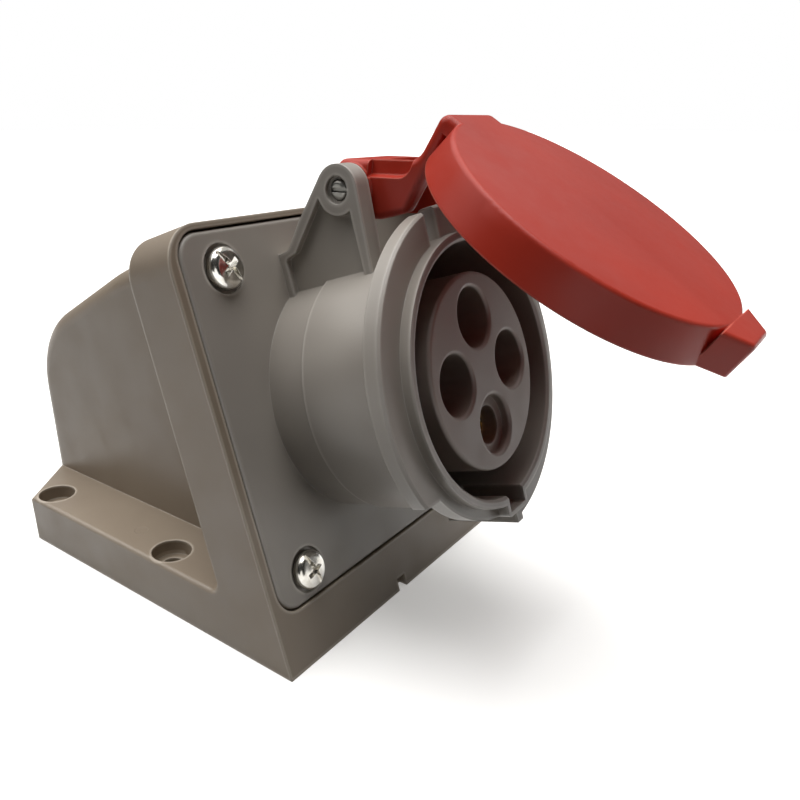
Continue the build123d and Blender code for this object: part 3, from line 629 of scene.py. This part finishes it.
@dataclass
class Screw:
    """A screw with a pan head, drawn in millimetres with its tip at the origin.

    The head's rim is rolled over and its middle is slightly domed, the recess is punched
    with a tapered tool and the thread is a helical ridge on the shank.
    """

    name: str
    length: float
    head_r: float
    head_height: float
    shank_r: float
    pitch: float
    drive: Drive = Drive.COMBINED
    rim_r: float = 1.6          # of the rounded rim
    crown: float = 0.3          # rise of the head's middle over the rim
    point: float = 0.5          # length of the tapered tip
    sides: int = 64

    @property
    def core_r(self) -> float:
        """Radius at the root of the thread."""
        return self.shank_r - THREAD_DEPTH * self.pitch

    def blank(self) -> bpy.types.Object:
        """Models the domed head and the plain shank from one cylinder.

        Returns:
            The blank, in millimetres, tip down.
        """
        clear_selection()
        under = self.length - self.head_height
        height = self.head_height - self.crown
        bpy.ops.mesh.primitive_cylinder_add(
            vertices=self.sides, radius=self.head_r, depth=height,
            location=(0, 0, under + height / 2),
        )
        piece = start_piece(self.name)
        bpy.ops.object.transform_apply(location=True, rotation=False, scale=False)
        bpy.ops.object.mode_set(mode="EDIT")
        pick(piece, "FACE", lambda centre, normal: normal.z > 0.9)
        bpy.ops.mesh.bevel(offset=self.rim_r, segments=9, profile=0.5, affect="EDGES")
        pick(
            piece, "FACE",
            lambda centre, normal: normal.z > 0.999 and centre.xy.length < FLAT_CENTRE_R,
        )
        flat_r = self.head_r - self.rim_r
        for width, rise in CROWN_RINGS:
            bpy.ops.mesh.inset(thickness=width * flat_r)
            bpy.ops.transform.translate(value=(0, 0, rise * self.crown))
        pick(piece, "EDGE", lambda corner: abs(corner.z - under) < 1e-4)
        bpy.ops.mesh.bevel(offset=CHAMFER, segments=2, affect="EDGES")
        pick(piece, "FACE", lambda centre, normal: normal.z < -0.9)
        bpy.ops.mesh.inset(thickness=self.head_r - CHAMFER - self.core_r)
        drop = self.point - under
        bpy.ops.mesh.extrude_region_move(TRANSFORM_OT_translate={"value": (0, 0, drop)})
        bpy.ops.mesh.extrude_region_move(TRANSFORM_OT_translate={"value": (0, 0, -self.point)})
        taper = BLUNT_TAPER if self.point < LONG_POINT else SHARP_TAPER
        bpy.ops.transform.resize(value=(taper, taper, 1))
        bpy.ops.object.mode_set(mode="OBJECT")
        return piece

    def thread(self) -> bpy.types.Object:
        """Winds the helical ridge of the thread round the core.

        Returns:
            The ridge, in millimetres, as a closed mesh.
        """
        clear_selection()
        bpy.ops.mesh.primitive_circle_add(
            vertices=3, radius=THREAD_HALF * self.pitch, rotation=(math.pi / 2, 0, 0)
        )
        ridge = start_piece(self.name + "_thread")
        bpy.ops.object.transform_apply(location=False, rotation=True, scale=False)
        root = self.core_r - THREAD_SINK
        bpy.ops.object.mode_set(mode="EDIT")
        shape = bmesh.from_edit_mesh(ridge.data)
        for corner, (radius, height) in zip(
            shape.verts, ((self.shank_r, 0.0), (root, THREAD_HALF), (root, -THREAD_HALF))
        ):
            corner.co = (radius, 0, self.point + self.pitch * (0.5 + height))
        bmesh.update_edit_mesh(ridge.data)
        bpy.ops.object.mode_set(mode="OBJECT")
        wound = ridge.modifiers.new("wind", "SCREW")
        wound.steps = wound.render_steps = THREAD_STEPS
        shank = self.length - self.head_height - self.point
        wound.iterations = int(shank / self.pitch - 0.9)    # ends within the shank
        wound.screw_offset = self.pitch
        wound.use_merge_vertices = False
        bpy.ops.object.modifier_apply(modifier=wound.name)
        bpy.ops.object.mode_set(mode="EDIT")
        bpy.ops.mesh.select_all(action="DESELECT")
        bpy.ops.mesh.select_mode(type="EDGE")
        bpy.ops.mesh.select_non_manifold()
        bpy.ops.mesh.edge_face_add()
        bpy.ops.mesh.select_all(action="SELECT")
        bpy.ops.mesh.normals_make_consistent(inside=False)
        bpy.ops.object.mode_set(mode="OBJECT")
        return ridge

    def punches(self) -> list[Punch]:
        """Chooses the tools that cut the recess, in proportion to the head.

        Returns:
            The wings of the cross, the slot, or both.
        """
        wings = [
            Punch(
                0.6 * self.head_r, 0.27 * self.head_r, 0.62 * self.head_height, turned=angle,
                floor_reach=0.25,
            )
            for angle in (0.0, 90.0)
        ]
        slot = Punch(1.3 * self.head_r, 0.22 * self.head_r, 0.36 * self.head_height)
        tools = []
        if self.drive is not Drive.SLOT:
            tools += wings
        if self.drive is not Drive.CROSS:
            tools.append(slot)
        return tools

    def build(self) -> bpy.types.Object:
        """Models one whole screw at the origin.

        Returns:
            The screw, in millimetres, tip down.
        """
        piece = self.blank()
        boolean(piece, self.thread(), "UNION")
        for punch in self.punches():
            boolean(piece, punch.build(self.length), "DIFFERENCE")
        finish_mesh(piece)
        return piece


@dataclass
class SlottedPin:
    """A plain pin with one domed and slotted end, drawn in millimetres up from its tip."""

    name: str
    length: float
    radius: float
    dome: float = 0.95          # of the slotted end
    chamfer: float = 0.3        # of the plain end
    sides: int = 56

    def build(self) -> bpy.types.Object:
        """Models the pin at the origin.

        Returns:
            The pin, in millimetres, slotted end up.
        """
        clear_selection()
        bpy.ops.mesh.primitive_cylinder_add(
            vertices=self.sides, radius=self.radius, depth=self.length,
            location=(0, 0, self.length / 2),
        )
        piece = start_piece(self.name)
        bpy.ops.object.transform_apply(location=True, rotation=False, scale=False)
        bpy.ops.object.mode_set(mode="EDIT")
        pick(piece, "FACE", lambda centre, normal: normal.z > 0.9)
        bpy.ops.mesh.bevel(offset=self.dome, segments=8, profile=0.5, affect="EDGES")
        pick(piece, "FACE", lambda centre, normal: normal.z < -0.9)
        bpy.ops.mesh.bevel(offset=self.chamfer, segments=2, affect="EDGES")
        bpy.ops.object.mode_set(mode="OBJECT")
        slot = Punch(1.3 * self.radius, 0.42 * self.radius, 1.2 * self.dome)
        boolean(piece, slot.build(self.length), "DIFFERENCE")
        finish_mesh(piece)
        return piece


@dataclass(frozen=True)
class SideScoop:
    """The scoop in one side of the lid's arm, beside the arm's flat top.

    Its lengths are in millimetres from the hinge's axis: along the arm, across the
    object and up.
    """

    start: float = 3.6
    end: float = 13.2
    start_r: float = 2.4
    end_r: float = 3.0
    arm_half: float = 8.2       # half the width of the arm
    arm_top: float = 5.2
    depth: float = 2.5          # of the ledge under the arm's top
    ledge: float = 1.3          # width of the ledge
    lean: float = 0.3           # of the scoop's back, from the ledge up
    fall: float = 0.5           # of the ledge towards its outer edge
    spare: float = 3.0          # of the tool past the arm's side

    def tool(self, axis: Vector, side: int) -> bpy.types.Object:
        """Models the tool that cuts the scoop.

        Args:
            axis: a point on the hinge's axis, in metres.
            side: -1 for the scoop towards -X, 1 for the one towards +X.

        Returns:
            The tool, in metres.
        """
        clear_selection()
        bpy.ops.mesh.primitive_cube_add(size=1, location=(0, 0, 0))
        tool = start_piece("scoop_tool")
        floor = self.arm_top - self.depth
        inner = self.arm_half - self.ledge
        slope = self.fall / self.ledge
        bpy.ops.object.mode_set(mode="EDIT")
        shape = bmesh.from_edit_mesh(tool.data)
        for corner in shape.verts:
            outside, far, high = (value > 0 for value in corner.co)
            if outside:
                across = inner + self.spare
                drop = slope * self.spare
            else:
                across = inner - (2 * self.lean if high else 0)
                drop = 0
            height = floor + (2 * self.depth if high else -drop)
            along = self.end if far else self.start
            corner.co = (side * across, -along, height)
        bmesh.update_edit_mesh(tool.data)
        for along, radius in ((self.start, self.start_r), (self.end, self.end_r)):
            pick(
                tool, "EDGE",
                lambda corner: abs(corner.y + along) < 0.01 and corner.z < floor + 0.1,
            )
            bpy.ops.mesh.bevel(offset=radius, segments=7, affect="EDGES")
        bpy.ops.mesh.select_all(action="SELECT")
        bpy.ops.mesh.normals_make_consistent(inside=False)
        bpy.ops.object.mode_set(mode="OBJECT")
        place = Matrix.Translation((0, axis.y, axis.z)) @ Matrix.Scale(MM, 4)
        tool.data.transform(place)
        return tool


def merged_copy(node: bpy.types.Object, name: str) -> bpy.types.Object:
    """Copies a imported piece, merges the copy's loose triangles and frees its normals.

    Args:
        node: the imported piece, which stays as it is.
        name: name of the copy and of its mesh.

    Returns:
        The copy.
    """
    piece = node.copy()
    piece.data = node.data.copy()
    piece.name = piece.data.name = name
    bpy.context.scene.collection.objects.link(piece)
    select_only(piece)
    bpy.ops.object.mode_set(mode="EDIT")
    bpy.ops.mesh.select_all(action="SELECT")
    bpy.ops.mesh.remove_doubles(threshold=WELD)
    bpy.ops.object.mode_set(mode="OBJECT")
    if piece.data.has_custom_normals:
        bpy.ops.mesh.customdata_custom_splitnormals_clear()
    return piece


def put_copies(
    pattern: bpy.types.Object,
    seats: list[Seat],
    turns: list[float],
    material: bpy.types.Material,
) -> list[bpy.types.Object]:
    """Copies one modelled piece to its seats, each copy with its own mesh.

    Args:
        pattern: piece drawn in millimetres with its tip at the origin.
        seats: where the copies go.
        turns: how far each copy is turned about its own axis, in degrees.
        material: finish of the copies.

    Returns:
        The copies, in the order of the seats.
    """
    copies = []
    for number, (seat, turn) in enumerate(zip(seats, turns), start=1):
        mesh = pattern.data.copy()
        mesh.transform(seat.matrix() @ Matrix.Rotation(math.radians(turn), 4, "Z"))
        mesh.materials.clear()
        mesh.materials.append(material)
        copy = bpy.data.objects.new(f"{pattern.name}_{number}", mesh)
        bpy.context.scene.collection.objects.link(copy)
        copies.append(copy)
    bpy.data.objects.remove(pattern)
    return copies


def ride_for(pieces: list[bpy.types.Object], node: str, body: Body) -> None:
    """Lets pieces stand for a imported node.

    Args:
        pieces: the modelled pieces.
        node: name of the node that they replace.
        body: body that they move with.
    """
    for piece in pieces:
        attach(piece, body.value)
        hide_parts(node)
        LOG.info("piece %s stands for %s", piece.name, node)


# ---- sub-assemblies ------------------------------------------------------------------


@dataclass
class WallBox:
    """The one-piece wall box, its inserts and grommet, and the object's rubber seals."""

    nodes: dict[str, bpy.types.Object]

    def dress(self) -> None:
        """Gives the box, its inserts, its grommet and the seals their finishes."""
        paint(self.nodes["wall_box"], BOX_PLASTIC.build())
        paint(self.nodes["entry_grommet"], GROMMET_RUBBER.build())
        seal = SEAL_RUBBER.build()
        for name in ("cover_gasket", "carrier_seal", "cover_screw_seals", "lid_gasket"):
            paint(self.nodes[name], seal)
        paint(self.nodes["box_inserts"], TURNED_BRASS.build())
        LOG.info("wall box dressed")


@dataclass
class SocketFront:
    """The plate, barrel and ring moulding with the screws that hold it."""

    nodes: dict[str, bpy.types.Object]
    outward: Vector
    screw_turns: list[float] = field(default_factory=lambda: [20.0, 35.0, 62.0, 15.0])

    def dress(self) -> None:
        """Gives the moulding its finish."""
        paint(self.nodes["socket_housing"], HOUSING_PLASTIC.build())
        LOG.info("socket front dressed")

    def fit_screws(self) -> None:
        """Models the four cover screws."""
        seats = [
            seat_of(points, self.outward) for points in solids_of(self.nodes["cover_screws"])
        ]
        screw = Screw(
            "cover_screw", length=seats[0].length / MM, head_r=seats[0].radius / MM,
            head_height=2.7, shank_r=1.97, pitch=0.7,
        )
        copies = put_copies(screw.build(), seats, self.screw_turns, BRIGHT_ZINC.build())
        ride_for(copies, "cover_screws", Body.BOX)


@dataclass
class ContactSet:
    """The carrier, the sleeves and the terminals behind the mouth."""

    nodes: dict[str, bpy.types.Object]
    outward: Vector

    def dress(self) -> None:
        """Gives the contact parts their finishes."""
        paint(self.nodes["contact_carrier"], CARRIER_PLASTIC.build())
        paint(self.nodes["terminal_block"], BLOCK_PLASTIC.build())
        brass = TURNED_BRASS.build()
        for name in ("contact_l1", "contact_l2", "contact_l3", "contact_earth"):
            paint(self.nodes[name], brass)
        paint(self.nodes["contact_ring_springs"], SPRING_STEEL.build())
        LOG.info("contact set dressed")

    def middle(self) -> Vector:
        """Finds the point halfway between two opposite contacts.

        Returns:
            A point on the carrier's axis.
        """
        places = [solids_of(self.nodes[name])[0].mean(axis=0)
                  for name in ("contact_l1", "contact_l3")]
        return Vector(sum(places) / 2)

    def fit_screws(self) -> None:
        """Models the terminal screws and the small screws driven in from behind."""
        zinc = BRIGHT_ZINC.build()
        middle = self.middle()
        seats = []
        for points in solids_of(self.nodes["terminal_screws"]):
            away = Vector(points.mean(axis=0)) - middle
            seats.append(seat_of(points, away - away.project(self.outward)))
        terminal = Screw(
            "terminal_screw", length=seats[0].length / MM, head_r=seats[0].radius / MM,
            head_height=1.6, shank_r=1.5, pitch=0.5, drive=Drive.SLOT, rim_r=0.35, crown=0.1,
        )
        ride_for(
            put_copies(terminal.build(), seats, [0.0] * 4, zinc),
            "terminal_screws", Body.BOX,
        )
        for name, label in (("carrier_screws", "carrier_screw"), ("block_screws", "block_screw")):
            seats = [seat_of(points, -self.outward) for points in solids_of(self.nodes[name])]
            rear = Screw(
                label, length=seats[0].length / MM, head_r=seats[0].radius / MM,
                head_height=1.8, shank_r=1.45, pitch=1.1, drive=Drive.CROSS, rim_r=1.1,
                point=1.8,
            )
            ride_for(
                put_copies(rear.build(), seats, [25.0, 70.0], zinc), name, Body.BOX
            )


@dataclass
class LidAndHinge:
    """The red lid and the pin that it turns on."""

    nodes: dict[str, bpy.types.Object]
    scoop: SideScoop = SideScoop()
    slot_turn: float = 90.0     # degrees, of the slot in the pin's end
    smooth_below: float = 28.0  # degrees, between faces of the lid that shade as one

    def dress(self) -> None:
        """Gives the lid its finish."""
        paint(self.nodes["lid"], LID_PLASTIC.build())
        LOG.info("lid dressed")

    def pin_seat(self) -> Seat:
        """Where the pin lies, with its slotted end towards -X."""
        return seat_of(solids_of(self.nodes["hinge_pin"])[0], Vector((-1, 0, 0)))

    def scoop_arm(self) -> None:
        """Cuts the two side scoops in a copy of the lid, which then stands for it."""
        lid = merged_copy(self.nodes["lid"], "scooped_lid")
        axis = self.pin_seat().tip
        for side in (-1, 1):
            boolean(lid, self.scoop.tool(axis, side), "DIFFERENCE")
        select_only(lid)
        bpy.ops.object.shade_smooth_by_angle(angle=math.radians(self.smooth_below))
        ride_for([lid], "lid", Body.LID)

    def fit_pin(self) -> None:
        """Models the hinge pin."""
        seat = self.pin_seat()
        pin = SlottedPin("lid_pin", seat.length / MM, seat.radius / MM)
        ride_for(
            put_copies(pin.build(), [seat], [self.slot_turn], DULL_STEEL.build()),
            "hinge_pin", Body.BOX,
        )


# ---- studio --------------------------------------------------------------------------


@dataclass(frozen=True)
class Sun:
    """One very soft distant light."""

    name: str
    azimuth: float      # degrees from +X to +Y, of the side that it shines from
    height: float       # degrees over the horizon
    power: float
    spread: float = 50.0
    gloss_only: bool = False    # seen in the highlights but not lighting the faces

    def hang(self) -> None:
        """Adds the light to the scene."""
        lamp = bpy.data.lights.new(self.name, "SUN")
        lamp.energy = self.power
        lamp.angle = math.radians(self.spread)
        holder = bpy.data.objects.new(self.name, lamp)
        holder.visible_diffuse = not self.gloss_only
        bpy.context.scene.collection.objects.link(holder)
        turn, lift = math.radians(self.azimuth), math.radians(self.height)
        source = Vector(
            (math.cos(turn) * math.cos(lift), math.sin(turn) * math.cos(lift), math.sin(lift))
        )
        holder.rotation_euler = (-source).to_track_quat("-Z", "Y").to_euler()


SUNS = (
    Sun("overhead", 0.0, 90.0, 2.7),
    Sun("back_left", 120.0, 50.0, 1.3),
    Sun("table_glow", 0.0, -90.0, 1.08),
    Sun("back_right", 60.0, 50.0, 0.75),
    Sun("right", 0.0, 50.0, 0.38),
    Sun("low_right", 0.0, 12.0, 0.12),
    Sun("front_right", 300.0, 12.0, 0.12),
    Sun("edge_gleam", 224.0, 4.0, 0.45, spread=36.0, gloss_only=True),
)


@dataclass
class Studio:
    """White floor, soft lights and the camera, in metres and degrees."""

    floor_r: float = 8.0
    suns: tuple[Sun, ...] = SUNS
    eye: tuple[float, float, float] = (-0.12505, -0.14035, 0.10292)
    aim: tuple[float, float, float] = (-0.0072, -0.04896, 0.03467)
    lens: float = 32.61     # mm
    shift: tuple[float, float] = (0.08, 0.0641)
    sky_low: float = 0.01   # strength of the dome at the horizon
    sky_high: float = 0.05  # and overhead
    floor_colour: str = "#F4F3F1"
    floor_glow: float = 0.35

    def lay_floor(self) -> None:
        """Lays the pale floor under the object."""
        clear_selection()
        bpy.ops.mesh.primitive_circle_add(
            vertices=96, radius=self.floor_r, fill_type="NGON", location=(0, 0, 0)
        )
        floor = start_piece("studio_floor")
        material, tree = new_material("white_paper")
        shader = add_node(
            tree, "ShaderNodeBsdfPrincipled",
            {"Base Color": linear(self.floor_colour), "Roughness": 0.85, "IOR": 1.3,
             "Emission Color": linear(self.floor_colour), "Emission Strength": self.floor_glow},
        )
        add_node(tree, "ShaderNodeOutputMaterial", links={"Surface": shader.outputs["BSDF"]})
        floor.data.materials.append(material)
        floor.visible_diffuse = False
        floor.visible_shadow = False

    def light_sky(self) -> None:
        """Surrounds the scene with a dome that is bright above and dim low down."""
        world = bpy.data.worlds.new("soft_sky")
        bpy.context.scene.world = world
        world.use_nodes = True
        tree = world.node_tree
        tree.nodes.clear()
        way = add_node(tree, "ShaderNodeTexCoord").outputs["Generated"]
        split = add_node(tree, "ShaderNodeSeparateXYZ", links={0: way})
        rise = add_node(
            tree, "ShaderNodeMapRange",
            {"From Min": 0.0, "From Max": 1.0, "To Min": self.sky_low, "To Max": self.sky_high},
            {"Value": split.outputs["Z"]},
        )
        lit = add_node(
            tree, "ShaderNodeBackground", {"Color": linear("#FFFDFA")},
            {"Strength": rise.outputs["Result"]},
        )
        seen = add_node(tree, "ShaderNodeBackground", {"Color": (1, 1, 1, 1), "Strength": 1.0})
        path = add_node(tree, "ShaderNodeLightPath")
        mixed = add_node(
            tree, "ShaderNodeMixShader",
            links={0: path.outputs["Is Camera Ray"], 1: lit.outputs[0], 2: seen.outputs[0]},
        )
        add_node(tree, "ShaderNodeOutputWorld", links={"Surface": mixed.outputs[0]})

    def place_camera(self) -> None:
        """Places the camera at the viewing angle."""
        lens = bpy.data.cameras.new("view")
        lens.lens = self.lens
        lens.sensor_width = 36.0
        lens.shift_x, lens.shift_y = self.shift
        lens.clip_start = 0.01
        camera = bpy.data.objects.new("view", lens)
        bpy.context.scene.collection.objects.link(camera)
        camera.location = self.eye
        look = Vector(self.aim) - Vector(self.eye)
        camera.rotation_euler = look.to_track_quat("-Z", "Y").to_euler()
        bpy.context.scene.camera = camera

    def build(self) -> None:
        """Sets up the floor, the lights and the camera."""
        self.lay_floor()
        self.light_sky()
        for sun in self.suns:
            sun.hang()
        self.place_camera()
        bpy.context.scene.view_settings.view_transform = "Standard"


def outward_of_face(nodes: dict[str, bpy.types.Object]) -> Vector:
    """Direction that the sloping front looks in, from the plate gasket's flat shape.

    Args:
        nodes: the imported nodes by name.

    Returns:
        The unit normal of the front.
    """
    mesh = nodes["cover_gasket"].data
    total = Vector()
    for face in mesh.polygons:
        if face.normal.y < -0.5:
            total += face.normal * face.area
    return total.normalized()


def main() -> None:
    """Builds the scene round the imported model."""
    logging.basicConfig(level=logging.INFO, format="%(name)s: %(message)s")
    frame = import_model()
    nodes = frame["nodes"]
    outward = outward_of_face(nodes)
    WallBox(nodes).dress()
    front = SocketFront(nodes, outward)
    front.dress()
    front.fit_screws()
    contacts = ContactSet(nodes, outward)
    contacts.dress()
    contacts.fit_screws()
    hinge = LidAndHinge(nodes)
    hinge.dress()
    hinge.scoop_arm()
    hinge.fit_pin()
    Studio().build()


if __name__ == "__main__":
    main()
